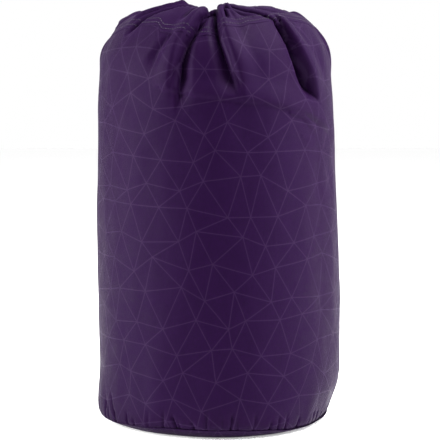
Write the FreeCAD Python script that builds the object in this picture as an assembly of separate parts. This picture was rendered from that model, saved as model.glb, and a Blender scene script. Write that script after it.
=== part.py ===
import FreeCAD
import Part

import math
import os

# A drawcord stuff sack, filled to its working shape: a round cloth body closed by a sewn-in base
# disc, with a hem channel round the mouth. A cord runs once round inside the channel, comes out
# through a slot in the channel's inner layer at the front, and hangs down inside the sack through
# a sprung cord lock to a knot.
#
# Units are millimetres. +Z is up, the origin is the middle of the base on the ground, and -Y is
# the front. Profiles are drawn as (radius, height) and turned about Z.

# Sack
MOUTH_FLAT_WIDTH = 723.0       # length round the body panel before it is gathered
BASE_FLAT_RADIUS = 98.0        # the part of the base that lies on the ground
BASE_SEAM = (112.0, 9.0)       # where the base disc meets the body panel
BASE_SEAM_GAP = 0.8            # between the edges of the two cloth solids at each seam
CHANNEL_SEAM_GAP = 0.3
WIDEST = (114.8, 125.0)
SHOULDER = (110.0, 335.0)      # where the body starts to close in to the channel
SHOULDER_ROUND = (106.2, 350.5)
STITCH_LINE = (98.0, 361.0)    # lower edge of the channel
CREST = (71.0, 386.0)          # top fold of the channel, which leans inwards
CLOTH = 1.5                    # wall thickness of the cloth solids

# Channel
CHANNEL_WALL = 1.2
CHANNEL_BULGE_OUT = 5.0
CHANNEL_BULGE_IN = 4.5
CHANNEL_LIP = 3.0              # length of each flat edge, where the two layers are sewn together
STITCH_ROWS = (2.5, 7.0)       # distance of each stitch row from the channel's lower edge
THREAD_RADIUS = 0.35

# Cord
CORD_RADIUS = 1.5
CORD_OFFSET = 5.0              # from the channel's middle towards the crest
CORD_BEND_RADIUS = 9.0
CORD_SPACING = 3.4             # between the two hanging strands
CORD_LEAD = 0.3                # straight piece between the ring and each bend
CORD_SPARE = 90.0              # cord beyond the length that opens the mouth fully
KNOT_RADIUS = 4.6
KNOT_HALF_HEIGHT = 6.0
SLOT_HALF_WIDTH = 12.0
SLOT_DEPTH = 11.0
PATCH_MARGIN = 5.0
PATCH_THICKNESS = 0.7
PATCH_GAP = 0.1

# Cord lock, with its axis along Y and the cord passing through along Z
LOCK_HEIGHT = 343.0
BARREL_RADIUS = 7.5
BARREL_WALL = 1.4
BARREL_FRONT = -10.8           # closed end, from the cord's middle
BARREL_MOUTH = 7.2
RUNNING_GAP = 0.25
PLUNGER_END = -4.2
BUTTON_GAP = 3.8
BUTTON_THICKNESS = 3.0
BUTTON_RADIUS = 6.8
PRESS_TRAVEL = 3.6
CORD_WINDOW = 1.75             # half the room along the axis that a strand keeps
SLOT_SIDE = 3.55               # half the width of the cord slots
SPRING_RADIUS = 4.2
SPRING_WIRE = 0.7

# Seams
BINDING_THICKNESS = 1.0
BINDING_WIDTH = 8.0
BINDING_GAP = 0.3
SEAM_STITCH_SPACING = 5.0
BASE_STITCH_HEIGHT = 2.0

AXIS = FreeCAD.Vector(0, 0, 1)
CENTRE = FreeCAD.Vector(0, 0, 0)
BACK_ANGLE = 90.0


def point(radius, height):
    return FreeCAD.Vector(radius, 0, height)


def arc(start, middle, end):
    return Part.Arc(point(*start), point(*middle), point(*end)).toShape()


def line(start, end):
    return Part.LineSegment(point(*start), point(*end)).toShape()


def along(start, end, distance, sideways=0.0):
    """The point at a distance from start towards end, moved sideways to the outside."""
    length = math.hypot(end[0] - start[0], end[1] - start[1])
    u = ((end[0] - start[0]) / length, (end[1] - start[1]) / length)
    return (
        start[0] + u[0] * distance + u[1] * sideways,
        start[1] + u[1] * distance - u[0] * sideways,
    )


def band(profile, start, thickness):
    """A strip beside a curved profile. Distances are positive on the hollow side of its curve."""
    near = profile.makeOffset2D(start, openResult=True) if start else profile
    return near.makeOffset2D(thickness, openResult=True, fill=True)


def turned(face, angle=360.0, middle=0.0):
    """Turns a profile about Z through an angle centred on a direction."""
    face = face.copy()
    if angle < 360.0:
        face.rotate(CENTRE, AXIS, middle - angle / 2)
    return face.revolve(CENTRE, AXIS, angle)


def cylinder_y(radius, start, end, centre):
    return Part.makeCylinder(
        radius, end - start, centre + FreeCAD.Vector(0, start, 0), FreeCAD.Vector(0, 1, 0)
    )


def block(low, high):
    size = high - low
    return Part.makeBox(size.x, size.y, size.z, low)


def export(name, shape):
    shape = shape.removeSplitter() if len(shape.Solids) == 1 else shape
    print(f"{name}: {len(shape.Solids)} solid(s), {shape.Volume:.1f} mm3, valid {shape.isValid()}")
    shape.exportStep(f"parts/{name}.step")


# Profiles
BODY_START = (BASE_SEAM[0], BASE_SEAM[1] + BASE_SEAM_GAP)


def body_profile():
    return Part.Wire([
        arc(BODY_START, WIDEST, SHOULDER),
        arc(SHOULDER, SHOULDER_ROUND, STITCH_LINE),
    ])


def base_profile():
    """Flat on the ground, then an arc that leaves the ground smoothly and ends at the seam."""
    width, height = BASE_SEAM[0] - BASE_FLAT_RADIUS, BASE_SEAM[1]
    edge_radius = (width**2 + height**2) / (2 * height)
    half_turn = math.atan2(height, width)
    middle = (
        BASE_FLAT_RADIUS + edge_radius * math.sin(half_turn),
        edge_radius * (1 - math.cos(half_turn)),
    )
    return Part.Wire([
        line((0.0, 0.0), (BASE_FLAT_RADIUS, 0.0)),
        arc((BASE_FLAT_RADIUS, 0.0), middle, BASE_SEAM),
    ])


CHANNEL_START = along(STITCH_LINE, CREST, CHANNEL_SEAM_GAP)
CHANNEL_LENGTH = math.dist(CHANNEL_START, CREST)


def lens(inset, out_bulge, in_bulge):
    """The channel's cross-section between its lower edge and its crest."""
    low = along(CHANNEL_START, CREST, inset)
    top = along(CHANNEL_START, CREST, CHANNEL_LENGTH - inset)
    outside = along(CHANNEL_START, CREST, CHANNEL_LENGTH / 2, out_bulge)
    inside = along(CHANNEL_START, CREST, CHANNEL_LENGTH / 2, -in_bulge)
    return Part.Face(Part.Wire([arc(low, outside, top), arc(top, inside, low)]))


def channel_line(bulge):
    middle = along(CHANNEL_START, CREST, CHANNEL_LENGTH / 2, bulge)
    return arc(CHANNEL_START, middle, CREST)


# Cord
CORD_RING = along(CHANNEL_START, CREST, CHANNEL_LENGTH / 2 + CORD_OFFSET)
LEAD = CORD_BEND_RADIUS + CORD_LEAD
EXIT_ANGLE = math.asin(CORD_SPACING / 2 / math.hypot(CORD_RING[0], LEAD)) + math.atan2(
    LEAD, CORD_RING[0]
)
STRAND_Y = -CORD_RING[0] * math.cos(EXIT_ANGLE) - LEAD * math.sin(EXIT_ANGLE)
RING_LENGTH = CORD_RING[0] * 2 * (math.pi - EXIT_ANGLE)
BENDS_LENGTH = 2 * (CORD_LEAD + CORD_BEND_RADIUS * math.pi / 2)
TAIL = (MOUTH_FLAT_WIDTH + CORD_SPARE - RING_LENGTH - BENDS_LENGTH) / 2
TAIL_TOP = CORD_RING[1] - CORD_BEND_RADIUS
TAIL_END = TAIL_TOP - TAIL


def cord_path():
    """Up one strand, once round inside the channel by the back, and down the other strand."""
    radius, height = CORD_RING
    edges = []
    ring_ends = []
    for side in (-1, 1):
        away = FreeCAD.Vector(side * math.cos(EXIT_ANGLE), math.sin(EXIT_ANGLE), 0)
        corner = FreeCAD.Vector(side * CORD_SPACING / 2, STRAND_Y, height)
        low = corner - AXIS * CORD_BEND_RADIUS
        bend_end = corner + away * CORD_BEND_RADIUS
        bend_centre = low + away * CORD_BEND_RADIUS
        half_way = bend_centre + (AXIS - away).normalize() * CORD_BEND_RADIUS
        ring_end = corner + away * LEAD
        strand = [
            Part.LineSegment(low - AXIS * TAIL, low).toShape(),
            Part.Arc(low, half_way, bend_end).toShape(),
            Part.LineSegment(bend_end, ring_end).toShape(),
        ]
        edges += strand if side < 0 else strand[::-1]
        ring_ends.append(ring_end)
        if side < 0:
            back = FreeCAD.Vector(0, radius, height)
        else:
            edges.insert(3, Part.Arc(ring_ends[0], back, ring_ends[1]).toShape())
    return Part.Wire(edges)


def drawcord():
    path = cord_path()
    start = path.Edges[0].Vertexes[0].Point
    section = Part.Wire(Part.makeCircle(CORD_RADIUS, start, AXIS))
    tube = path.makePipeShell([section], True, False)
    expected = math.pi * CORD_RADIUS**2 * path.Length
    print(f"drawcord: length {path.Length:.1f}, volume over section times length "
          f"{tube.Volume / expected:.4f}, radii {CORD_BEND_RADIUS} and {CORD_RING[0]:.1f}, "
          f"ring {CORD_RING[0]:.2f} {CORD_RING[1]:.2f}, exit angle "
          f"{math.degrees(EXIT_ANGLE):.3f}, strands at y {STRAND_Y:.2f}, end {TAIL_END:.1f}")
    return tube


def drawcord_knot():
    """The stopper knot that joins the two strands, wound about their ends."""
    centre = FreeCAD.Vector(0, STRAND_Y, TAIL_END - KNOT_HALF_HEIGHT / 2)
    stretch = FreeCAD.Matrix()
    stretch.scale(1, 1, KNOT_HALF_HEIGHT / KNOT_RADIUS)
    knot = Part.makeSphere(KNOT_RADIUS).transformGeometry(stretch)
    knot.translate(centre)
    return knot


# Soft shells
def body_panel():
    return turned(band(body_profile(), 0.0, CLOTH))


def base_panel():
    return turned(band(base_profile(), 0.0, CLOTH))


def cord_slot(margin=0.0):
    """The space that the two strands pass through in the channel's inner layer."""
    half = FreeCAD.Vector(SLOT_HALF_WIDTH + margin, SLOT_DEPTH / 2 + margin, 0)
    top = CORD_RING[1] - CORD_RADIUS
    middle = FreeCAD.Vector(0, STRAND_Y, 0)
    return block(middle - half + AXIS * (STITCH_LINE[1] - 10), middle + half + AXIS * top)


def drawcord_channel():
    hollow = lens(
        CHANNEL_LIP, CHANNEL_BULGE_OUT - CHANNEL_WALL, CHANNEL_BULGE_IN - CHANNEL_WALL
    )
    whole = lens(0.0, CHANNEL_BULGE_OUT, CHANNEL_BULGE_IN)
    return turned(whole.cut(hollow).Faces[0]).cut(cord_slot())


def cord_exit_patch():
    """A reinforcing patch on the channel's inner face, round the slot."""
    inner_face = Part.Wire([channel_line(-CHANNEL_BULGE_IN)])
    strip = band(inner_face, -PATCH_GAP, -PATCH_THICKNESS)
    width = 2 * math.degrees(math.atan((SLOT_HALF_WIDTH + PATCH_MARGIN) / -STRAND_Y))
    patch = turned(strip, width, -BACK_ANGLE).common(cord_slot(PATCH_MARGIN))
    return patch.cut(cord_slot())


# Seams
def thread_ring(radius, height):
    return Part.makeTorus(radius, THREAD_RADIUS, point(0, height), AXIS)


def channel_stitching():
    rows = []
    outer_line = channel_line(CHANNEL_BULGE_OUT)
    for distance in STITCH_ROWS:
        start, end = outer_line.ParameterRange
        at = outer_line.valueAt(start + (end - start) * distance / outer_line.Length)
        rows.append(thread_ring(at.x, at.z))
    return Part.makeCompound(rows)


def base_seam_stitching():
    return thread_ring(BASE_SEAM[0] + 0.1, BASE_SEAM[1] + BASE_STITCH_HEIGHT)


def base_seam_binding():
    """Tape folded over the seam allowance, which points inwards."""
    outer = BASE_SEAM[0] - CLOTH - BINDING_GAP - 0.4
    half = BINDING_THICKNESS
    low = BASE_SEAM[1] + BASE_SEAM_GAP - half
    corners = [
        (outer, low), (outer - BINDING_WIDTH, low),
        (outer - BINDING_WIDTH, low + 2 * half), (outer, low + 2 * half),
    ]
    sides = [line(corners[i - 1], corners[i]) for i in range(len(corners))]
    return turned(Part.Face(Part.Wire(sides)))


def upright_profile(end_gap):
    """The body profile without its two ends, for what runs up the side seam."""
    low = (BODY_START[0] + 0.35, BODY_START[1] + end_gap)
    return Part.Wire([
        arc(low, WIDEST, SHOULDER),
        arc(SHOULDER, SHOULDER_ROUND, along(STITCH_LINE, SHOULDER_ROUND, end_gap / 2)),
    ])


def degrees_wide(width):
    return math.degrees(width / WIDEST[0])


def side_seam_binding():
    strip = band(upright_profile(8.0), CLOTH + BINDING_GAP, BINDING_THICKNESS)
    return turned(strip, degrees_wide(BINDING_WIDTH), BACK_ANGLE)


def side_seam_stitching():
    strip = band(upright_profile(5.0), -THREAD_RADIUS, 2 * THREAD_RADIUS)
    half = degrees_wide(SEAM_STITCH_SPACING) / 2
    return Part.makeCompound([
        turned(strip, degrees_wide(2 * THREAD_RADIUS), BACK_ANGLE + side * half)
        for side in (-1, 1)
    ])


# Cord lock
LOCK = FreeCAD.Vector(0, STRAND_Y, LOCK_HEIGHT)


def cord_window(start, end):
    """The slot that the two strands pass through along Z."""
    low = LOCK + FreeCAD.Vector(-SLOT_SIDE, start, -2 * BARREL_RADIUS)
    high = LOCK + FreeCAD.Vector(SLOT_SIDE, end, 2 * BARREL_RADIUS)
    return block(low, high)


def cord_lock_barrel():
    outside = cylinder_y(BARREL_RADIUS, BARREL_FRONT, BARREL_MOUTH, LOCK)
    closed_end = [
        e for e in outside.Edges
        if abs(e.BoundBox.YMin - STRAND_Y - BARREL_FRONT) < 0.01 and e.BoundBox.YLength < 0.01
    ]
    outside = outside.makeFillet(2.5, closed_end)
    bore_end = BARREL_FRONT + BARREL_WALL
    bore = cylinder_y(BARREL_RADIUS - BARREL_WALL, bore_end, BARREL_MOUTH + 1, LOCK)
    return outside.cut(bore).cut(cord_window(-CORD_WINDOW - 1.5, CORD_WINDOW))


def cord_lock_plunger():
    stem_radius = BARREL_RADIUS - BARREL_WALL - RUNNING_GAP
    button_start = BARREL_MOUTH + BUTTON_GAP
    button_end = button_start + BUTTON_THICKNESS
    stem = cylinder_y(stem_radius, PLUNGER_END, button_start, LOCK)
    button = cylinder_y(BUTTON_RADIUS, button_start, button_end, LOCK)
    rim = [
        e for e in button.Edges
        if abs(e.BoundBox.YMin - STRAND_Y - button_end) < 0.01 and e.BoundBox.YLength < 0.01
    ]
    button = button.makeFillet(1.2, rim)
    seat = cylinder_y(SPRING_RADIUS + 0.4, PLUNGER_END - 1, PLUNGER_END + 1.2, LOCK)
    window = cord_window(-CORD_WINDOW, CORD_WINDOW + PRESS_TRAVEL + 0.1)
    return stem.fuse(button).cut(seat).cut(window)


def cord_lock_spring():
    """The coil's outer shape, as a sleeve between the barrel's end and the plunger's seat."""
    start = BARREL_FRONT + BARREL_WALL + 0.05
    end = PLUNGER_END + 1.2 - 0.05
    sleeve = cylinder_y(SPRING_RADIUS, start, end, LOCK)
    return sleeve.cut(cylinder_y(SPRING_RADIUS - SPRING_WIRE, start - 1, end + 1, LOCK))


os.makedirs("parts", exist_ok=True)
for make in (
    body_panel, base_panel, drawcord_channel, cord_exit_patch, channel_stitching,
    side_seam_binding, side_seam_stitching, base_seam_binding, base_seam_stitching,
    drawcord, drawcord_knot, cord_lock_barrel, cord_lock_spring, cord_lock_plunger,
):
    export(make.__name__, make())
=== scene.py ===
import math

import bpy
import numpy as np
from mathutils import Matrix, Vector


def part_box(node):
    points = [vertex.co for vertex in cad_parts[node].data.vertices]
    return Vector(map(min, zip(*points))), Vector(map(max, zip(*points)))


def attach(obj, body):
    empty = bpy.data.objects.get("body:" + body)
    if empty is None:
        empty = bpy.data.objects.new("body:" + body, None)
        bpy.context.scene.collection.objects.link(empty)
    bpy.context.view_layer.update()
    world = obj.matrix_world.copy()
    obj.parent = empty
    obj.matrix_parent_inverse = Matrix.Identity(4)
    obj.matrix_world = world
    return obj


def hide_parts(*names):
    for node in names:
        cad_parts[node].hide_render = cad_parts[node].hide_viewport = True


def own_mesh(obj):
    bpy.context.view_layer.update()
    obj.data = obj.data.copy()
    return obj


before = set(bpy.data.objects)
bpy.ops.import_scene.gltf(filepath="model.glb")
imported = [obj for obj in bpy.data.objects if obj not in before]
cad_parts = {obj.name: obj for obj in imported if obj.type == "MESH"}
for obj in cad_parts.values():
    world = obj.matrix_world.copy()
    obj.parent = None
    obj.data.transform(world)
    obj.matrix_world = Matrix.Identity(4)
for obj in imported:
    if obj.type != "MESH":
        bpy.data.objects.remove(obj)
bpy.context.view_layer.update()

MM = 0.001

# ---------------------------------------------------------------- sizes, in millimetres
CREST_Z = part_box("drawcord_channel")[1].z / MM
STITCH_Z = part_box("body_panel")[1].z / MM
BASE_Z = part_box("base_panel")[1].z / MM
BASE_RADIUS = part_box("base_panel")[1].x / MM
BASE_FLAT = 98.0              # the part of the base that lies on the ground
FLAT_WIDTH = 723.0            # length round the cloth before it is gathered
LEAN = -4.5                   # how far the mouth leans to the left of the base
CLOTH = 0.5
LOCK_X, LOCK_Y = 0.0, -81.24   # the two strands of the cord hang here
CORD_LENGTH = 813.0
CORD_Q = 19.0                 # where room is kept for the cord, as a distance below the crest
CORD_ROOM = 4.6               # how far the outer layer can fold in over the cord
CORD_DENT = (-52.0, 30.0, 6.0)  # where the cord is pushed inwards: angle, spread and distance

# The sack's outline from the crest down to the base seam, as (radius, height).
OUTLINE = [
    (69.0, CREST_Z), (77.0, CREST_Z - 2.5), (86.0, CREST_Z - 9.5), (92.5, CREST_Z - 17.0),
    (97.8, STITCH_Z), (102.0, STITCH_Z - 7.0), (105.4, STITCH_Z - 15.0), (107.8, STITCH_Z - 26.0),
    (109.0, STITCH_Z - 42.0), (111.0, 293.0), (112.4, 240.0), (114.0, 180.0), (115.0, 110.0),
    (115.2, 45.0), (113.8, 20.0), (112.0, BASE_Z + 0.4),
]


def catmull_rom(points, per_span):
    """A smooth curve through points, with the same number of samples in each span."""
    p = np.array(points, float)
    p = np.vstack([2 * p[0] - p[1], p, 2 * p[-1] - p[-2]])
    t = np.linspace(0, 1, per_span, endpoint=False)[:, None]
    spans = []
    for a, b, c, d in zip(p[:-3], p[1:-2], p[2:-1], p[3:]):
        spans.append(0.5 * (
            2 * b + (c - a) * t + (2 * a - 5 * b + 4 * c - d) * t**2
            + (3 * b - a - 3 * c + d) * t**3
        ))
    return np.vstack(spans + [p[-2:-1]])


profile = catmull_rom(OUTLINE, 24)
steps = np.linalg.norm(np.diff(profile, axis=0), axis=1)
profile_q = np.concatenate([[0.0], np.cumsum(steps)])
tangents = np.gradient(profile, axis=0)
tangents /= np.linalg.norm(tangents, axis=1)[:, None]
Q_STITCH = float(np.interp(-STITCH_Z, -profile[:, 1], profile_q))
Q_BASE = float(profile_q[-1])


# ---------------------------------------------------------------- folds
# Each fold is a line down the cloth, as (degrees round from the front, millimetres below the
# crest), with a depth (a ridge is negative) and a reach to each side of the line.
CLOSING = 0.4                 # how far the lips of each fold close over it
FRONT_FOLDS = [
    # depth, left reach, right reach, points
    (-5.0, 18.0, 3.6, [(-6, 5), (-10, 20), (-15, 36), (-18, 48), (-20, 63), (-22, 80), (-22.5, 106)]),
    (10.0, 3.4, 14.0, [(-5, 12), (-11, 34), (-14.8, 50), (-17, 68), (-17.4, 118)]),
    (7.5, 15.0, 3.2, [(1, 12), (1.8, 34), (3.4, 50), (5.6, 66), (8.4, 84), (10.4, 108)]),
    (-5.0, 3.4, 19.0, [(3, 5), (4, 22), (4.8, 36), (6.8, 50), (9.4, 66), (12.6, 84), (15, 110)]),
    (4.5, 3.0, 5.0, [(-8, 3), (-14, 15), (-20, 30)]),
    (4.5, 3.2, 3.2, [(-4.8, 8), (-5.2, 24)]),
    (5.0, 3.0, 4.0, [(4.6, 12), (6.8, 31)]),
    (-2.5, 4.0, 5.0, [(8, 9), (10, 17), (14, 28)]),
    (4.5, 6.0, 3.0, [(8, 6), (15, 9), (23, 12), (32, 20), (39, 30)]),
    (6.0, 3.5, 3.0, [(32, 18), (36, 26), (38.5, 34), (40, 46)]),
    (17.0, 16.0, 3.0, [(38.5, 32), (41.5, 47), (44, 60), (48, 76), (54, 95), (57, 108)]),
    (-5.5, 3.0, 22.0, [(40.5, 29), (44, 47), (46.5, 60), (51, 76), (56.5, 95), (59.5, 110)]),
    (3.5, 3.0, 4.0, [(28, 8), (38, 13), (50, 15)]),
    (3.0, 3.0, 5.0, [(33, 2), (45, 5), (60, 8)]),
    (4.5, 6.0, 7.0, [(6, 12), (15, 17), (25, 22)]),
    (13.0, 3.6, 5.0, [(-16, 4), (-29, 8), (-37, 12), (-44.5, 20), (-51, 33), (-55, 46)]),
    (-3.5, 4.5, 3.2, [(-18, -2), (-32, 2), (-41, 6), (-48.5, 14), (-55, 27), (-59, 40)]),
    (13.0, 3.6, 5.0, [(-53, 9), (-62, 14), (-71, 24), (-80, 36), (-86, 50)]),
    (-2.0, 4.5, 3.2, [(-56, 2), (-66, 7), (-76, 18), (-85, 30), (-91, 44)]),
    (4.8, 20.0, 20.0, [(-74, 6), (-86, 16), (-91, 32), (-95, 62)]),
    (3.7, 20.0, 20.0, [(70, 4), (80, 14), (90, 26), (96, 40)]),
    (-2.6, 7.0, 26.0, [(-24, 90), (-8, 95), (12, 99), (28, 103), (50, 113), (72, 130), (100, 160)]),
    (4.0, 2.2, 2.4, [(3.5, 9), (7, 5.5), (12, 4)]),
    (3.0, 10.0, 10.0, [(-22, 42), (-28, 58), (-34, 78)]),
    (-1.2, 4.0, 4.0, [(36, 112), (44, 116), (56, 131)]),
    (-1.2, 4.0, 4.0, [(43, 134), (58, 141), (78, 153)]),
]

# How far the crest rises, as (degrees, millimetres).
CREST_LIFT = [
    (-180, -1), (-150, 1), (-120, -2), (-100, -4), (-85, -7), (-75, -7.5), (-66, -6), (-57, -4.5),
    (-43, -3.5), (-33, -1.5), (-24, 0.5), (-19, -0.5), (-14, -2), (-9.5, -5), (-7, -6.5), (-5, -8),
    (-2.5, -6), (0, -5), (2.2, -5), (4.5, -3.5), (8, 0), (13, 0), (18, -1.2), (26, -2), (36, -1),
    (46, -1), (60, -4), (75, -6), (95, -5), (120, -1), (140, -2), (165, 1), (180, -1),
]

# The channel's lower edge, as (degrees, millimetres below the crest). The right side sits higher.
SEAM_LINE = [
    (-180, 36.8), (-105, 36.8), (-74, 38.5), (-56, 33.5), (-47, 31), (-34, 31), (-28, 38.5),
    (-18, 41), (-9, 43), (-1, 42), (5, 36.5), (13, 34), (20, 30.5), (35, 26.5), (44, 25), (60, 27),
    (80, 33), (110, 36.8), (180, 36.8),
]
# How far the base seam has rolled under, in millimetres.
BASE_ROLL = [
    (-180, 2), (-130, 3), (-90, 5), (-62, 4.5), (-40, 2), (-22, 0), (5, 0), (20, 1.8), (38, 5.2),
    (60, 6), (95, 4), (140, 1), (180, 2),
]
# How far the lower corner is rounded in, in millimetres.
CORNER = [
    (-180, 1), (-140, 0), (-100, -3), (-72, -4), (-45, -3), (-20, 0), (5, 0), (25, 1), (45, 4),
    (62, 8), (95, 8), (125, 3), (160, 1), (180, 1),
]


def back_folds(rng):
    """Gathers round the sides and back, spaced unevenly, each running from the crest down the body."""
    folds = []
    angle = 84.0
    while angle < 270.0:
        depth = rng.uniform(4.0, 8.0)
        length = rng.uniform(55.0, 120.0)
        drift = rng.uniform(-6.0, 6.0)
        left, right = rng.uniform(4.0, 9.0, 2)
        folds.append((depth, left, right, [
            (angle, 0), (angle + 0.2 * drift, 30), (angle + drift, length),
        ]))
        folds.append((-0.5 * depth, 5.0, 8.0, [
            (angle + 5.0, 2), (angle + 5.0 + drift, 0.8 * length),
        ]))
        angle += rng.uniform(9.0, 17.0)
    return folds


def smoothstep(x):
    x = np.clip(x, 0.0, 1.0)
    return x * x * (3 - 2 * x)


def at_profile(q):
    q = np.asarray(q, float)
    radius = np.interp(q, profile_q, profile[:, 0])
    height = np.interp(q, profile_q, profile[:, 1])
    tangent_r = np.interp(q, profile_q, tangents[:, 0])
    tangent_z = np.interp(q, profile_q, tangents[:, 1])
    return radius, height, -tangent_z, tangent_r


def wrapped(angle):
    return (angle + 180.0) % 360.0 - 180.0


def fold_field(angle, q, folds):
    """How far each fold moves the cloth inwards along its normal."""
    radius = at_profile(q)[0]
    total = np.zeros_like(q)
    for depth, left, right, points in folds:
        line = [(a, d, at_profile(d)[0]) for a, d in points]
        lengths = [
            math.hypot(math.radians(b[0] - a[0]) * (a[2] + b[2]) / 2, b[1] - a[1])
            for a, b in zip(line, line[1:])
        ]
        whole, done = sum(lengths), 0.0
        middle = (points[0][0] + points[-1][0]) / 2
        turn = middle + wrapped(angle - middle)
        best = np.full(q.shape, 1e9)
        side = np.zeros_like(q)
        share = np.zeros_like(q)
        for a, b, length in zip(line, line[1:], lengths):
            dx = math.radians(b[0] - a[0]) * (a[2] + b[2]) / 2
            dy = b[1] - a[1]
            x = np.radians(turn - a[0]) * radius
            y = q - a[1]
            t = np.clip((x * dx + y * dy) / length**2, 0, 1)
            ex, ey = x - t * dx, y - t * dy
            distance = np.hypot(ex, ey)
            nearer = distance < best
            best = np.where(nearer, distance, best)
            side = np.where(nearer, np.sign(dy * x - dx * y), side)
            share = np.where(nearer, (done + t * length) / whole, share)
            done += length
        reach = np.where(side < 0, left, right) * (0.55 + 0.75 * share)
        shape = 0.5 * (1 + np.cos(math.pi * np.clip(best / reach, 0, 1)))
        taper = smoothstep(share / 0.12 + 0.7) * smoothstep((1 - share) / 0.45)
        total += depth * shape * taper
    return total


def soft_noise(angle, q, cells, spacing, seed):
    """Smooth noise from -1 to 1 that joins up round the sack."""
    rng = np.random.default_rng(seed)
    rows = int(Q_BASE / spacing) + 3
    grid = rng.uniform(-1, 1, (rows, cells))
    u = (angle % 360.0) / 360.0 * cells
    v = np.clip(q / spacing, 0, rows - 1.001)
    i, j = np.floor(u).astype(int), np.floor(v).astype(int)
    fu, fv = smoothstep(u - i), smoothstep(v - j)
    i0, i1 = i % cells, (i + 1) % cells
    top = grid[j, i0] * (1 - fu) + grid[j, i1] * fu
    low = grid[j + 1, i0] * (1 - fu) + grid[j + 1, i1] * fu
    return top * (1 - fv) + low * fv


def base_puckers(rng):
    """Short wrinkles just above the base seam, where the cloth is eased onto the round base."""
    folds = []
    angle = -180.0
    while angle < 178.0:
        length = rng.uniform(7.0, 20.0)
        folds.append((rng.uniform(0.6, 2.1), 2.2, 3.2, [
            (angle, Q_BASE + 2), (angle + rng.uniform(-1.5, 1.5), Q_BASE - length),
        ]))
        angle += rng.uniform(3.5, 9.0)
    folds += [
        (2.6, 2.5, 4.0, [(-66, Q_BASE), (-64, Q_BASE - 20)]),
        (3.0, 2.5, 4.5, [(-56, Q_BASE), (-60, Q_BASE - 26)]),
        (2.4, 2.5, 4.0, [(-20, Q_BASE), (-22, Q_BASE - 14)]),
    ]
    return folds


rng = np.random.default_rng(7)
FOLDS = FRONT_FOLDS + back_folds(rng)
PUCKERS = base_puckers(rng)


def table(values, angle):
    """A smooth reading of a table of (degrees, value)."""
    turns, heights = np.array(values, float).T
    angle = wrapped(np.asarray(angle, float))
    i = np.clip(np.searchsorted(turns, angle, side="right") - 1, 0, len(turns) - 2)
    share = smoothstep((angle - turns[i]) / (turns[i + 1] - turns[i]))
    return heights[i] * (1 - share) + heights[i + 1] * share


def bell(angle, middle, spread, height):
    return height * np.exp(-((wrapped(angle - middle) / spread) ** 2))


def cord_dent(angle):
    return bell(angle, *CORD_DENT)


def all_folds(angle, q):
    """How far every fold, pucker and uneven spot moves the cloth inwards."""
    fade = smoothstep(q / 60.0)
    inwards = fold_field(angle, q, FOLDS) + fold_field(angle, q, PUCKERS)
    inwards += 0.9 * fade * soft_noise(angle, q, 26, 70.0, 1)
    inwards += 0.35 * fade * soft_noise(angle, q, 60, 22.0, 2)
    # The cord's room reaches further up towards the crest at the sides and the back.
    crest_reach = 9.0 + 6.0 * smoothstep((np.abs(wrapped(angle)) - 55.0) / 20.0)
    cord_reach = np.where(q < CORD_Q, crest_reach, 9.0)
    over_cord = smoothstep(1.6 - np.abs(q - CORD_Q) / cord_reach)
    spare = np.maximum(inwards - CORD_ROOM - cord_dent(angle), 0.0)
    inwards -= over_cord * spare
    seam = smoothstep(1 - (Q_BASE - q) / 4.0)
    side_seam = np.abs(wrapped(angle - 180.0)) * q.clip(98) / 57.3
    ridge = smoothstep(3.2 - side_seam / 2.0) - 1.4 * smoothstep(1 - side_seam / 1.2)
    inwards += table(CORNER, angle) * smoothstep((q - Q_BASE + 38.0) / 38.0)
    return inwards + 0.7 * seam - 0.45 * ridge * smoothstep(q / 30.0)


def cloth_points(angle, q, outwards=0.0, share=1.0):
    """Points of the sack's cloth, in metres, for angles in degrees and distances below the crest."""
    angle, q = np.broadcast_arrays(np.asarray(angle, float), np.asarray(q, float))
    radius, height, normal_r, normal_z = at_profile(q)
    step = 0.4
    turn = np.degrees(step / radius)
    here = all_folds(angle, q)
    side_slope = (all_folds(angle + turn, q) - all_folds(angle - turn, q)) / (2 * step)
    down_slope = (all_folds(angle, q + step) - all_folds(angle, q - step)) / (2 * step)
    tuck = CLOSING * share * smoothstep(q / 6.0) * smoothstep((Q_BASE - q) / 6.0)
    lift = table(CREST_LIFT, angle) * smoothstep(1 - q / 26.0)
    lift = lift - table(BASE_ROLL, angle) * smoothstep((q - Q_BASE + 45.0) / 45.0)
    moved = outwards - share * here
    tangent_r, tangent_z = normal_z, -normal_r
    r = radius + normal_r * moved + tangent_r * tuck * down_slope
    z = height + normal_z * moved + tangent_z * tuck * down_slope + lift
    a = np.radians(angle) + tuck * side_slope / radius
    lean = LEAN * smoothstep(height / STITCH_Z)
    return np.stack([lean + r * np.sin(a), -r * np.cos(a), z], -1) * MM


# ---------------------------------------------------------------- mesh and curve helpers
def new_object(name, data):
    obj = bpy.data.objects.new(name, data)
    bpy.context.scene.collection.objects.link(obj)
    return obj


def smooth_object(name, vertices, faces):
    mesh = bpy.data.meshes.new(name)
    mesh.from_pydata(vertices, [], faces)
    mesh.polygons.foreach_set("use_smooth", [True] * len(faces))
    return new_object(name, mesh)


def round_curve(name, diameter):
    """A 3-D curve with a round section."""
    data = bpy.data.curves.new(name, "CURVE")
    data.dimensions = "3D"
    data.bevel_depth = diameter / 2 * MM
    data.bevel_resolution = 4
    return data


def add_nurbs(data, points, cyclic=False):
    """A smooth spline with points, in millimetres, as its control points."""
    spline = data.splines.new("NURBS")
    spline.points.add(len(points) - 1)
    for control, point in zip(spline.points, points):
        control.co = (*(Vector(point) * MM), 1.0)
    spline.order_u = 3
    spline.use_endpoint_u = not cyclic
    spline.use_cyclic_u = cyclic
    return spline


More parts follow.
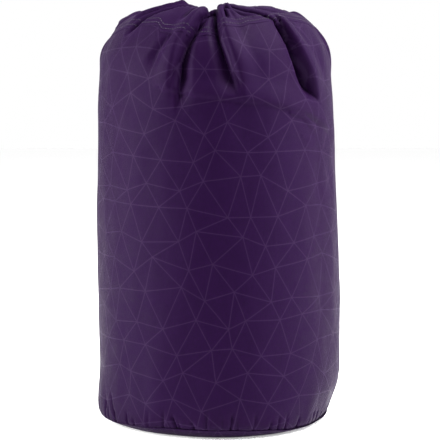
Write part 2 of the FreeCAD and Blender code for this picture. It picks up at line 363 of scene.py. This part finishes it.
def grid_mesh(name, points, uv, around=True, keep=None):
    """A mesh from points[row, column], with a UV in metres of flat cloth. keep leaves faces out."""
    rows, columns = points.shape[:2]
    index = np.arange(rows * columns).reshape(rows, columns)
    upper, lower = index[:-1], index[1:]
    faces = np.stack([upper, np.roll(upper, -1, 1), np.roll(lower, -1, 1), lower], -1)
    if not around:
        faces = faces[:, :-1]
    if keep is not None:
        faces = faces[keep[: faces.shape[0], : faces.shape[1]]]
    faces = faces.reshape(-1, 4)
    used, corners = np.unique(faces, return_inverse=True)
    mesh = bpy.data.meshes.new(name)
    vertices = points.reshape(-1, 3)[used]
    mesh.from_pydata(vertices.tolist(), [], corners.reshape(-1, 4).tolist())
    layer = mesh.uv_layers.new(name="Cloth")
    u, v = uv
    wrap = (faces % columns == 0) & (np.roll(faces, 1, 1) % columns == columns - 1)
    wrap |= (faces % columns == 0) & (np.roll(faces, -1, 1) % columns == columns - 1)
    corner_u = u[faces % columns] + np.where(wrap & around, FLAT_WIDTH * MM, 0.0)
    corner_v = np.broadcast_to(np.reshape(v, (rows, -1)), (rows, columns)).ravel()[faces]
    layer.data.foreach_set("uv", np.stack([corner_u, corner_v], -1).ravel().astype(np.float32))
    mesh.polygons.foreach_set("use_smooth", [True] * len(mesh.polygons))
    mesh.update()
    return new_object(name, mesh)


def solidify(obj, thickness, offset=-1.0):
    modifier = obj.modifiers.new("Thickness", "SOLIDIFY")
    modifier.thickness = thickness * MM
    modifier.offset = offset


def place(obj, body, slot, material, *nodes):
    obj.data.materials.clear()
    obj.data.materials.append(material)
    if nodes:
        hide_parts(*nodes)
    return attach(obj, body)


# ---------------------------------------------------------------- materials
class Nodes:
    """Short ways to add shader nodes to one tree."""

    def __init__(self, tree):
        self.tree = tree

    def add(self, kind, **settings):
        node = self.tree.nodes.new(kind)
        for key, value in settings.items():
            setattr(node, key, value)
        return node

    def link(self, source, target):
        self.tree.links.new(source, target)

    def feed(self, node, index, value):
        if hasattr(value, "is_linked"):
            self.link(value, node.inputs[index])
        else:
            node.inputs[index].default_value = value

    def math(self, operation, a, b=0.0, clamp=False):
        node = self.add("ShaderNodeMath", operation=operation, use_clamp=clamp)
        self.feed(node, 0, a)
        self.feed(node, 1, b)
        return node.outputs[0]

    def vector(self, operation, a, b=(0.0, 0.0, 0.0), scale=None):
        node = self.add("ShaderNodeVectorMath", operation=operation)
        self.feed(node, 0, a)
        if operation != "SCALE":
            self.feed(node, 1, b)
        else:
            self.feed(node, 3, scale)
        return node.outputs["Value" if operation in ("DOT_PRODUCT", "LENGTH") else "Vector"]

    def mix(self, factor, a, b):
        node = self.add("ShaderNodeMix", data_type="RGBA")
        self.feed(node, 0, factor)
        self.feed(node, 6, a)
        self.feed(node, 7, b)
        return node.outputs[2]

    def ramp(self, value, low, high, out_low=0.0, out_high=1.0):
        node = self.add("ShaderNodeMapRange", interpolation_type="SMOOTHSTEP")
        for i, v in enumerate((value, low, high, out_low, out_high)):
            self.feed(node, i, v)
        return node.outputs[0]


def new_material(name):
    material = bpy.data.materials.new(name)
    material.use_nodes = True
    n = Nodes(material.node_tree)
    return material, n, material.node_tree.nodes["Principled BSDF"]


def group(name, inputs, output_kind):
    tree = bpy.data.node_groups.new(name, "ShaderNodeTree")
    for label, kind in inputs:
        tree.interface.new_socket(label, in_out="INPUT", socket_type=kind)
    tree.interface.new_socket("Out", in_out="OUTPUT", socket_type=output_kind)
    n = Nodes(tree)
    return n, n.add("NodeGroupInput"), n.add("NodeGroupOutput")


PRINT_EDGE = 28.0 * MM          # typical side of the printed triangles
PRINT_JITTER = 0.55             # how uneven they are, as a share of that side
PRINT_LINE = 0.32 * MM          # half the width of a printed line


def lattice_group():
    """Cell number in, jittered place of the lattice node on the cloth out."""
    n, start, end = group("LatticeNode", [("Cell", "NodeSocketVector")], "NodeSocketVector")
    noise = n.add("ShaderNodeTexWhiteNoise", noise_dimensions="2D")
    cell = start.outputs[0]
    n.link(cell, noise.inputs["Vector"])
    jitter = n.vector("SUBTRACT", noise.outputs["Color"], (0.5, 0.5, 0.5))
    jitter = n.vector("MULTIPLY", jitter, (PRINT_JITTER * PRINT_EDGE, PRINT_JITTER * PRINT_EDGE, 0))
    parts = n.add("ShaderNodeSeparateXYZ")
    n.link(cell, parts.inputs[0])
    x = n.math("ADD", parts.outputs[0], n.math("MULTIPLY", parts.outputs[1], 0.5))
    even = n.add("ShaderNodeCombineXYZ")
    n.link(n.math("MULTIPLY", x, PRINT_EDGE), even.inputs[0])
    n.link(n.math("MULTIPLY", parts.outputs[1], PRINT_EDGE * math.sqrt(0.75)), even.inputs[1])
    n.link(n.vector("ADD", even.outputs[0], jitter), end.inputs[0])
    return n.tree


def segment_group():
    """Distance from a point to the straight line between two lattice nodes."""
    sockets = [(s, "NodeSocketVector") for s in ("Point", "From", "To")]
    n, start, end = group("SegmentDistance", sockets, "NodeSocketFloat")
    p, a, b = start.outputs[:3]
    pa, ba = n.vector("SUBTRACT", p, a), n.vector("SUBTRACT", b, a)
    share = n.math(
        "DIVIDE", n.vector("DOT_PRODUCT", pa, ba), n.vector("DOT_PRODUCT", ba, ba), clamp=True
    )
    along = n.vector("SCALE", ba, scale=share)
    n.link(n.vector("LENGTH", n.vector("SUBTRACT", pa, along)), end.inputs[0])
    return n.tree


def printed_lines(n, uv):
    """1 on the printed lines and 0 off them: uneven triangles with straight sides."""
    lattice, segment = lattice_group(), segment_group()
    flat = n.vector("MULTIPLY", uv, (1, 1, 0))
    parts = n.add("ShaderNodeSeparateXYZ")
    n.link(flat, parts.inputs[0])
    j = n.math("DIVIDE", parts.outputs[1], PRINT_EDGE * math.sqrt(0.75))
    i = n.math("SUBTRACT", n.math("DIVIDE", parts.outputs[0], PRINT_EDGE), n.math("MULTIPLY", j, 0.5))
    cell = n.add("ShaderNodeCombineXYZ")
    n.link(n.math("FLOOR", i), cell.inputs[0])
    n.link(n.math("FLOOR", j), cell.inputs[1])
    places = {}

    def lattice_place(di, dj):
        if (di, dj) not in places:
            node = n.add("ShaderNodeGroup", node_tree=lattice)
            n.link(n.vector("ADD", cell.outputs[0], (di, dj, 0)), node.inputs[0])
            places[(di, dj)] = node.outputs[0]
        return places[(di, dj)]

    nearest = None
    for di in (-1, 0, 1, 2):
        for dj in (-1, 0, 1):
            for side in ((1, 0), (0, 1), (-1, 1)):
                ends = (di, dj), (di + side[0], dj + side[1])
                if not any(x in (0, 1) and y in (0, 1) for x, y in ends):
                    continue
                first, last = lattice_place(*ends[0]), lattice_place(*ends[1])
                node = n.add("ShaderNodeGroup", node_tree=segment)
                n.link(flat, node.inputs[0])
                n.link(first, node.inputs[1])
                n.link(last, node.inputs[2])
                nearest = node.outputs[0] if nearest is None else n.math(
                    "MINIMUM", nearest, node.outputs[0]
                )
    return n.ramp(nearest, 0.5 * PRINT_LINE, 2.2 * PRINT_LINE, 1.0, 0.0)


def weave(n, uv, pitch):
    """Height of a fine plain weave."""
    parts = n.add("ShaderNodeSeparateXYZ")
    n.link(uv, parts.inputs[0])
    waves = [
        n.math("SINE", n.math("MULTIPLY", parts.outputs[k], 2 * math.pi / pitch)) for k in (0, 1)
    ]
    return n.math("MULTIPLY", waves[0], waves[1])


def cloth_material(name, colour, printed=False, roughness=0.52, line_colour=None):
    material, n, shader = new_material(name)
    coordinates = n.add("ShaderNodeUVMap", uv_map="Cloth").outputs[0]
    mottle = n.add("ShaderNodeTexNoise")
    mottle.inputs["Scale"].default_value = 55.0
    mottle.inputs["Detail"].default_value = 4.0
    n.link(coordinates, mottle.inputs["Vector"])
    dark = tuple(0.86 * c for c in colour) + (1.0,)
    light = tuple(1.12 * c for c in colour) + (1.0,)
    base = n.mix(mottle.outputs["Fac"], dark, light)
    rough = n.ramp(mottle.outputs["Fac"], 0.3, 0.7, roughness - 0.04, roughness + 0.05)
    bump = n.add("ShaderNodeBump")
    bump.inputs["Strength"].default_value = 0.22
    bump.inputs["Distance"].default_value = 0.0002
    height = weave(n, coordinates, 0.55 * MM)
    if printed:
        lines = printed_lines(n, coordinates)
        base = n.mix(lines, base, line_colour + (1.0,))
        rough = n.math("SUBTRACT", rough, n.math("MULTIPLY", lines, 0.10))
    crease = n.add("ShaderNodeTexNoise")
    crease.inputs["Scale"].default_value = 38.0
    crease.inputs["Detail"].default_value = 6.0
    crease.inputs["Distortion"].default_value = 0.6
    n.link(coordinates, crease.inputs["Vector"])
    soft = n.add("ShaderNodeBump")
    soft.inputs["Strength"].default_value = 0.25
    soft.inputs["Distance"].default_value = 0.002
    n.link(crease.outputs["Fac"], soft.inputs["Height"])
    n.link(height, bump.inputs["Height"])
    n.link(soft.outputs[0], bump.inputs["Normal"])
    n.link(base, shader.inputs["Base Color"])
    n.link(rough, shader.inputs["Roughness"])
    n.link(bump.outputs[0], shader.inputs["Normal"])
    shader.inputs["Specular IOR Level"].default_value = 0.035
    shader.inputs["Specular Tint"].default_value = (0.8, 0.55, 1.0, 1.0)
    shader.inputs["Sheen Weight"].default_value = 0.02
    shader.inputs["Sheen Roughness"].default_value = 0.5
    shader.inputs["Sheen Tint"].default_value = (0.58, 0.30, 0.80, 1.0)
    return material


def plain_material(name, colour, roughness, metallic=0.0, grain=0.0, scale=900.0):
    material, n, shader = new_material(name)
    shader.inputs["Base Color"].default_value = colour + (1.0,)
    shader.inputs["Metallic"].default_value = metallic
    noise = n.add("ShaderNodeTexNoise")
    noise.inputs["Scale"].default_value = scale
    noise.inputs["Detail"].default_value = 3.0
    n.link(n.add("ShaderNodeTexCoord").outputs["Object"], noise.inputs["Vector"])
    n.link(n.ramp(noise.outputs["Fac"], 0.3, 0.7, roughness - 0.06, roughness + 0.06),
           shader.inputs["Roughness"])
    bump = n.add("ShaderNodeBump")
    bump.inputs["Strength"].default_value = grain
    bump.inputs["Distance"].default_value = 0.0002
    n.link(noise.outputs["Fac"], bump.inputs["Height"])
    n.link(bump.outputs[0], shader.inputs["Normal"])
    return material


def braid_material(name, colour, pitch=2.2):
    """A round braid: two crossing diagonals along the cord's own UV, with fine noise over them. Its
    colour is darker in the low grooves between the strands: painted shade.
    """
    material, n, shader = new_material(name)
    wave = n.add("ShaderNodeTexNoise")
    wave.inputs["Scale"].default_value = 700.0
    n.link(n.add("ShaderNodeTexCoord").outputs["Object"], wave.inputs["Vector"])
    uv = n.add("ShaderNodeTexCoord").outputs["UV"]
    parts = n.add("ShaderNodeSeparateXYZ")
    n.link(uv, parts.inputs[0])
    length = n.math("MULTIPLY", parts.outputs[0], 2 * math.pi * CORD_LENGTH / pitch)
    around = n.math("MULTIPLY", parts.outputs[1], 2 * math.pi * 4)
    strands = [
        n.math("SINE", n.math(operation, length, around)) for operation in ("ADD", "SUBTRACT")
    ]
    height = n.math("MAXIMUM", *strands)
    # Painted shade: the colour falls to 0.45 of the cord's own colour in the grooves between the
    # strands.
    groove_shade = n.ramp(height, -0.6, 0.9, 0.0, 1.0)
    n.link(n.mix(groove_shade, tuple(0.45 * c for c in colour) + (1.0,), colour + (1.0,)),
           shader.inputs["Base Color"])
    bump = n.add("ShaderNodeBump")
    bump.inputs["Strength"].default_value = 0.6
    bump.inputs["Distance"].default_value = 0.0004
    n.link(n.math("ADD", height, wave.outputs["Fac"]), bump.inputs["Height"])
    n.link(bump.outputs[0], shader.inputs["Normal"])
    shader.inputs["Roughness"].default_value = 0.7
    return material


BODY_COLOUR = (0.0071, 0.0014, 0.0136)
body_cloth = cloth_material(
    "BodyCloth", BODY_COLOUR, printed=True, line_colour=(0.0135, 0.0055, 0.0220)
)
channel_cloth = cloth_material("ChannelCloth", (0.0080, 0.0018, 0.0152))
tape_cloth = cloth_material("TapeCloth", (0.012, 0.011, 0.014), roughness=0.7)
thread = plain_material("Thread", (0.010, 0.0026, 0.018), 0.6, grain=0.3)
cord_braid = braid_material("CordBraid", (0.03, 0.03, 0.034))
lock_plastic = plain_material("LockPlastic", (0.012, 0.012, 0.013), 0.42, grain=0.15, scale=2500.0)
steel = plain_material("SpringSteel", (0.62, 0.62, 0.60), 0.3, metallic=1.0, grain=0.05)

# ---------------------------------------------------------------- cloth pieces
angles = np.concatenate([
    np.arange(-95.0, 70.0, 0.56), np.arange(70.0, 176.5, 1.15), np.arange(176.5, 183.5, 0.35),
    np.arange(183.5, 264.5, 1.15),
])
turn_u = (angles + 180.0) / 360.0 * FLAT_WIDTH * MM
SEAM_ANGLE = 180.0


def body_rows():
    top = np.arange(Q_STITCH - 2.0, Q_STITCH + 95.0, 1.55)
    low = np.linspace(Q_STITCH + 97.0, Q_BASE - 27.0, 22)
    foot = np.linspace(Q_BASE - 25.0, Q_BASE, 15)
    return np.concatenate([top, low, foot])


def below_seam(angle, q):
    """Moves the cloth's rows with the channel's lower edge."""
    return q + (table(SEAM_LINE, angle) - Q_STITCH) * smoothstep(1 - (q - Q_STITCH) / 75.0)


def above_seam(angle, q):
    return q * table(SEAM_LINE, angle) / Q_STITCH


def make_body():
    rows = body_rows()
    a, q = np.meshgrid(angles, rows)
    q = below_seam(a, q)
    body = grid_mesh("sack_body", cloth_points(a, q), (turn_u, (Q_BASE - q) * MM))
    solidify(body, CLOTH)
    place(body, "sack", "shell_fabric", body_cloth, "body_panel")


EXIT_ANGLE = math.degrees(math.asin((LOCK_X - LEAN) / -LOCK_Y))


def inner_layer(angle, q, outwards=0.0):
    """Points of the channel's inner layer, which leaves room for the cord."""
    angle, q = np.broadcast_arrays(np.asarray(angle, float), np.asarray(q, float))
    bulge = np.sin(math.pi * np.clip(q / table(SEAM_LINE, angle), 0, 1))
    calm = smoothstep(2.2 - np.abs(angle - EXIT_ANGLE) / 8.0)
    loose = cloth_points(angle, q, outwards - 0.3 - 10.8 * bulge**0.8, share=0.35 - 0.3 * calm)
    close = cloth_points(angle, q, outwards - 0.3)
    weight = smoothstep(bulge / 0.5)[..., None]
    return close * (1 - weight) + loose * weight


EXIT_TURN, EXIT_Q, EXIT_REACH = 8.5, 22.0, 5.5


def outside_slot(angle, q, margin=0.0):
    wide = np.abs(angle - EXIT_ANGLE) > EXIT_TURN + margin / 1.4
    return wide | (np.abs(q - EXIT_Q) > EXIT_REACH + margin)


def make_channel():
    """One strip of cloth folded over at the crest, with both edges sewn down at its lower edge."""
    outer = np.linspace(Q_STITCH + 1.5, 0.0, 34)
    inner = np.linspace(0.0, Q_STITCH - 1.0, 30)[1:]
    a, q = np.meshgrid(angles, outer)
    front = cloth_points(a, above_seam(a, q), outwards=0.7)
    a, q = np.meshgrid(angles, inner)
    back = inner_layer(a, above_seam(a, q), outwards=0.4)
    strip = np.concatenate([Q_STITCH + 1.5 - outer, Q_STITCH + 1.5 + inner])
    keep = np.ones((len(strip), len(angles)), bool)
    keep[len(outer):] = outside_slot(a, above_seam(a, q))
    channel = grid_mesh("sack_channel", np.vstack([front, back]), (turn_u, strip * MM), keep=keep)
    solidify(channel, CLOTH)
    place(channel, "sack", "channel_fabric", channel_cloth, "drawcord_channel")


def make_exit_patch():
    """A stiff frame of tape round the slot, under the channel's inner layer."""
    turn = np.linspace(-EXIT_TURN - 3.6, EXIT_TURN + 3.6, 70) + EXIT_ANGLE
    q = np.linspace(EXIT_Q - EXIT_REACH - 4.0, EXIT_Q + EXIT_REACH + 5.0, 30)
    a, d = np.meshgrid(turn, q)
    keep = outside_slot(a, d, -0.6)
    patch = grid_mesh("exit_patch", inner_layer(a, d, outwards=-0.7), (turn * 1.4 * MM, q * MM),
                      around=False, keep=keep)
    solidify(patch, 0.7)
    place(patch, "sack", "binding_tape", tape_cloth, "cord_exit_patch")


def make_base():
    radii = np.concatenate([np.linspace(0.5, 92.0, 16), np.linspace(94.0, BASE_RADIUS - 0.3, 22)])
    a, r = np.meshgrid(np.radians(angles), radii)
    t = np.clip((r - BASE_FLAT) / (BASE_RADIUS - BASE_FLAT), 0, 1)
    z = (BASE_Z - 0.1 - table(BASE_ROLL, np.degrees(a))) * t**1.7
    z += 0.4 * t * (1 - t) * soft_noise(np.degrees(a), r, 40, 30.0, 5)
    r = r - table(CORNER, np.degrees(a)) * smoothstep(r / BASE_RADIUS * 2.0 - 1.0)
    points = np.stack([r * np.sin(a), -r * np.cos(a), z], -1) * MM
    base = grid_mesh("sack_base", points[::-1], (turn_u, radii[::-1] * MM))
    flat = np.array([base.data.vertices[loop.vertex_index].co[:2] for loop in base.data.loops])
    base.data.uv_layers["Cloth"].data.foreach_set("uv", (flat + 0.5).ravel().astype(np.float32))
    solidify(base, CLOTH, offset=1.0)
    place(base, "sack", "shell_fabric", body_cloth, "base_panel")


def make_side_tape():
    """Tape sewn over the side seam, inside."""
    turn = np.linspace(-2.1, 2.1, 9) + SEAM_ANGLE
    q = np.linspace(Q_STITCH + 4.0, Q_BASE - 4.0, 150)
    tape = grid_mesh("side_seam_tape", cloth_points(*np.meshgrid(turn, q), outwards=-1.1),
                     (turn * 2.0 * MM, q * MM), around=False)
    solidify(tape, 0.6)
    place(tape, "sack", "binding_tape", tape_cloth, "side_seam_binding")


def make_base_tape():
    """Tape folded over the base seam's allowance, inside."""
    lowest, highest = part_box("base_seam_binding")
    radii = np.linspace(highest.x / MM - 8.0, highest.x / MM - 0.3, 6)
    a, r = np.meshgrid(np.radians(angles), radii)
    t = np.clip((r - BASE_FLAT) / (BASE_RADIUS - BASE_FLAT), 0, 1)
    z = (lowest.z + highest.z) / 2 / MM - table(BASE_ROLL, np.degrees(a)) * t**1.7
    r = r - table(CORNER, np.degrees(a)).clip(0)
    z += 0.3 * soft_noise(np.degrees(a), r, 70, 30.0, 6)
    points = np.stack([r * np.sin(a), -r * np.cos(a), z], -1) * MM
    tape = grid_mesh("base_seam_tape", points[::-1], (turn_u, radii[::-1] * MM))
    solidify(tape, 0.8, offset=0.0)
    place(tape, "sack", "binding_tape", tape_cloth, "base_seam_binding")


# ---------------------------------------------------------------- thread
def stitches(name, runs, node, width=0.5):
    """Dashes of thread. Each run gives where a stitch starts and ends, and its outward offset."""
    vertices, faces = [], []
    for starts, ends, surface in runs:
        along = np.linspace(0, 1, 4)[:, None]
        rise = np.array([-0.25, 0.18, 0.18, -0.25])[:, None]
        a = starts[0] * (1 - along) + ends[0] * along
        q = starts[1] * (1 - along) + ends[1] * along
        middle = surface(a, q, rise)
        above = surface(a, q, rise + 0.3)
        outwards = above - middle
        outwards /= np.linalg.norm(outwards, axis=-1, keepdims=True)
        forward = np.gradient(middle, axis=0)
        forward /= np.linalg.norm(forward, axis=-1, keepdims=True)
        aside = np.cross(forward, outwards)
        ring = [outwards, aside, -outwards, -aside]
        points = np.stack([middle + 0.5 * width * MM * side for side in ring], 1)
        for k in range(points.shape[2]):
            first = len(vertices)
            vertices.extend(points[:, :, k].reshape(-1, 3).tolist())
            for i in range(3):
                for j in range(4):
                    p, o = first + 4 * i, (j + 1) % 4
                    faces.append((p + j, p + 4 + j, p + 4 + o, p + o))
            faces.append(tuple(range(first, first + 4)))
            faces.append(tuple(range(first + 15, first + 11, -1)))
    place(smooth_object(name, vertices, faces), "sack", "thread", thread, node)


def round_run(level, pitch, length, surface):
    """A row of stitches round the sack. level gives its distance below the crest."""
    count = int(FLAT_WIDTH / pitch)
    starts = np.arange(count) * 360.0 / count - 180.0
    ends = starts + 360.0 * length / FLAT_WIDTH
    return (starts, level(starts)), (ends, level(ends)), surface


def above_edge(distance):
    return lambda angle: table(SEAM_LINE, angle) - distance


def base_level(angle):
    return np.full(angle.shape, Q_BASE - 1.7)


def upright_run(angle, low_q, high_q, pitch, length, surface):
    starts = np.arange(low_q, high_q, pitch)
    turn = np.full(len(starts), angle)
    return (turn, starts), (turn, starts + length), surface


def outside(gap):
    return lambda a, q, rise: cloth_points(a, q, gap + rise)


def inside_channel(a, q, rise):
    return inner_layer(a, q, -0.1 - rise)


def make_stitches():
    rows = [above_edge(2.5), above_edge(7.0)]
    runs = [round_run(row, 3.1, 2.2, outside(0.75)) for row in rows]
    runs += [round_run(row, 3.1, 2.2, inside_channel) for row in rows]
    stitches("channel_stitches", runs, "channel_stitching")
    side = 360.0 * 2.5 / FLAT_WIDTH
    runs = [
        upright_run(SEAM_ANGLE + turn, Q_STITCH + 4.0, Q_BASE - 5.0, 3.3, 2.3, outside(0.05))
        for turn in (-side, side)
    ]
    stitches("side_seam_stitches", runs, "side_seam_stitching")
    runs = [round_run(base_level, 3.4, 2.4, outside(0.05))]
    stitches("base_seam_stitches", runs, "base_seam_stitching", width=0.4)


# ---------------------------------------------------------------- cord and its lock
RING_RADIUS = 78.4
RING_LEVEL = 374.0
RING_TURN = 15                # degrees from one control point of the ring to the next
FRONT_DIP = (0.0, 24.0, 3.5)    # angle, spread and distance
SIDE_DIP = (80.0, 25.0, 2.6)
CORD_DIAMETER = 3.0
KNOT_DIAMETER = 2.9            # the cord is pulled a little thinner in the knot
STRAND = 1.7                  # from the middle of the lock to each strand
STRAND_TOP = 371.4
KNOT_TOP = 218.58


def ring_point(angle):
    """A control point of the ring, which lies lower at the front and at the sides."""
    radius = (RING_RADIUS - cord_dent(angle)) / math.cos(math.radians(RING_TURN / 2))
    dip = bell(angle, *FRONT_DIP) + bell(abs(wrapped(angle)), *SIDE_DIP)
    a = math.radians(angle)
    return LEAN + radius * math.sin(a), -radius * math.cos(a), RING_LEVEL - dip


def cord_route():
    """Up one strand from the knot, once round in the channel, and down the other strand."""
    down = [(366.0, LOCK_Y), (354.0, LOCK_Y), (333.0, LOCK_Y), (298.0, LOCK_Y + 0.4),
            (257.0, LOCK_Y + 0.2), (KNOT_TOP, LOCK_Y)]
    left = [(LOCK_X - STRAND, y, z) for z, y in reversed(down)]
    right = [(LOCK_X + STRAND, y, z) for z, y in down]
    left.append((LOCK_X - STRAND - 1.0, LOCK_Y + 0.9, STRAND_TOP))
    right.insert(0, (LOCK_X + STRAND + 1.0, LOCK_Y + 0.9, STRAND_TOP))
    ring = [ring_point(EXIT_ANGLE - turn) for turn in range(RING_TURN, 346, RING_TURN)]
    return left + ring + right


def make_cord():
    data = round_curve("drawcord_rope", CORD_DIAMETER)
    route = cord_route()
    add_nurbs(data, route).resolution_u = 8
    cord = new_object("drawcord_rope", data)
    place(cord, "sack", "cord", cord_braid, "drawcord")
    knot = make_knot()


def make_knot():
    """Both ends tied together in one overhand knot, with two short tails."""
    data = round_curve("tied_knot", KNOT_DIAMETER)
    data.use_fill_caps = True
    centre = Vector((LOCK_X, LOCK_Y, KNOT_TOP - 3.2))
    loop = []
    for i in range(24):
        t = 2 * math.pi * i / 24
        radius = 1.75 + 0.8 * math.cos(3 * t)
        loop.append((radius * math.cos(2 * t), radius * math.sin(2 * t), 2.2 * math.sin(3 * t)))
    tails = [
        [(side * 1.2, 0.0, -2.0), (side * 1.9, 0.3, -3.6), (side * 2.6, 0.2, -5.0)]
        for side in (-1, 1)
    ]
    for points, cyclic in [(loop, True)] + [(tail, False) for tail in tails]:
        add_nurbs(data, [centre + Vector(point) for point in points], cyclic)
    knot = new_object("tied_knot", data)
    return place(knot, "sack", "cord", cord_braid, "drawcord_knot")


def make_spring():
    """A coil of round wire round the plunger's stem, pressed against the barrel's closed end."""
    lowest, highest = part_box("cord_lock_spring")
    turns, sides, per_turn = 6, 8, 24
    wire = 0.35
    coil = (highest.x - lowest.x) / 2 / MM - wire
    centre_z = (lowest.z + highest.z) / 2 / MM
    near, far = lowest.y / MM + wire, highest.y / MM - wire
    segments = turns * per_turn
    vertices, faces = [], []
    for i in range(segments + 1):
        t = 2 * math.pi * i / per_turn
        radial = np.array([math.cos(t), 0.0, math.sin(t)])
        centre = coil * radial + np.array([0.0, near + (far - near) * i / segments, centre_z])
        for j in range(sides):
            u = 2 * math.pi * j / sides
            ring = math.cos(u) * radial + math.sin(u) * np.array([0.0, 1.0, 0.0])
            vertices.append(((centre + wire * ring) * MM).tolist())
    for i in range(segments):
        for j in range(sides):
            p, o = sides * i, (j + 1) % sides
            faces.append((p + j, p + o, p + sides + o, p + sides + j))
    faces.append(tuple(range(sides)))
    faces.append(tuple(range(len(vertices) - 1, len(vertices) - 1 - sides, -1)))
    spring = smooth_object("spring_coil", vertices, faces)
    place(spring, "cord_lock", "spring_steel", steel, "cord_lock_spring")
    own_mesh(spring)


make_cord()
make_body()
make_channel()
make_base()
make_exit_patch()
make_side_tape()
make_base_tape()
make_stitches()
make_spring()
for node in ("cord_lock_barrel", "cord_lock_plunger"):
    bpy.data.objects[node].material_slots[0].material = lock_plastic


# ---------------------------------------------------------------- stage, camera and lights
def area_light(name, location, aim, size, power):
    data = bpy.data.lights.new(name, "AREA")
    data.shape = "RECTANGLE"
    data.size, data.size_y = size
    data.energy = power
    light = new_object(name, data)
    light.location = location
    light.rotation_euler = (Vector(aim) - Vector(location)).to_track_quat("-Z", "Y").to_euler()


CAMERA_PITCH = 5.43             # degrees below level


def make_camera():
    data = bpy.data.cameras.new("Camera")
    data.sensor_width = 36.0
    data.lens = 111.9
    camera = new_object("Camera", data)
    camera.location = (0.0, -1.30, 0.31)
    camera.rotation_euler = (math.radians(90.0 - CAMERA_PITCH), 0.0, 0.0)
    bpy.context.scene.camera = camera


def make_stage():
    mesh = bpy.data.meshes.new("floor")
    half = 6.0
    mesh.from_pydata([(-half, -half, 0), (half, -half, 0), (half, half, 0), (-half, half, 0)], [],
                     [(0, 1, 2, 3)])
    floor = new_object("floor", mesh)
    material, _, shader = new_material("Floor")
    shader.inputs["Base Color"].default_value = (0.9, 0.9, 0.9, 1.0)
    shader.inputs["Roughness"].default_value = 0.9
    shader.inputs["Emission Color"].default_value = (1.0, 1.0, 1.0, 1.0)
    shader.inputs["Emission Strength"].default_value = 0.3
    mesh.materials.append(material)
    world = bpy.data.worlds.new("World")
    world.use_nodes = True
    n = Nodes(world.node_tree)
    direction = n.add("ShaderNodeTexCoord").outputs["Generated"]
    parts = n.add("ShaderNodeSeparateXYZ")
    n.link(direction, parts.inputs[0])
    background = world.node_tree.nodes["Background"]
    background.inputs[0].default_value = (1.0, 1.0, 1.0, 1.0)
    n.link(n.ramp(parts.outputs[1], -0.8, 0.15, 0.04, 1.0), background.inputs[1])
    bpy.context.scene.world = world


make_camera()
make_stage()
middle = (0.0, 0.0, 0.2)
SIDE_BOX = (0.5, 1.2)
area_light("LeftBox", (-1.3, -0.30, 0.5), middle, SIDE_BOX, 60.0)
area_light("RightBox", (1.3, -0.30, 0.6), middle, SIDE_BOX, 32.0)
area_light("TopBox", (0.75, -0.30, 1.5), (0.0, 0.0, 0.35), (0.8, 0.6), 70.0)
bpy.context.scene.view_settings.view_transform = "Standard"
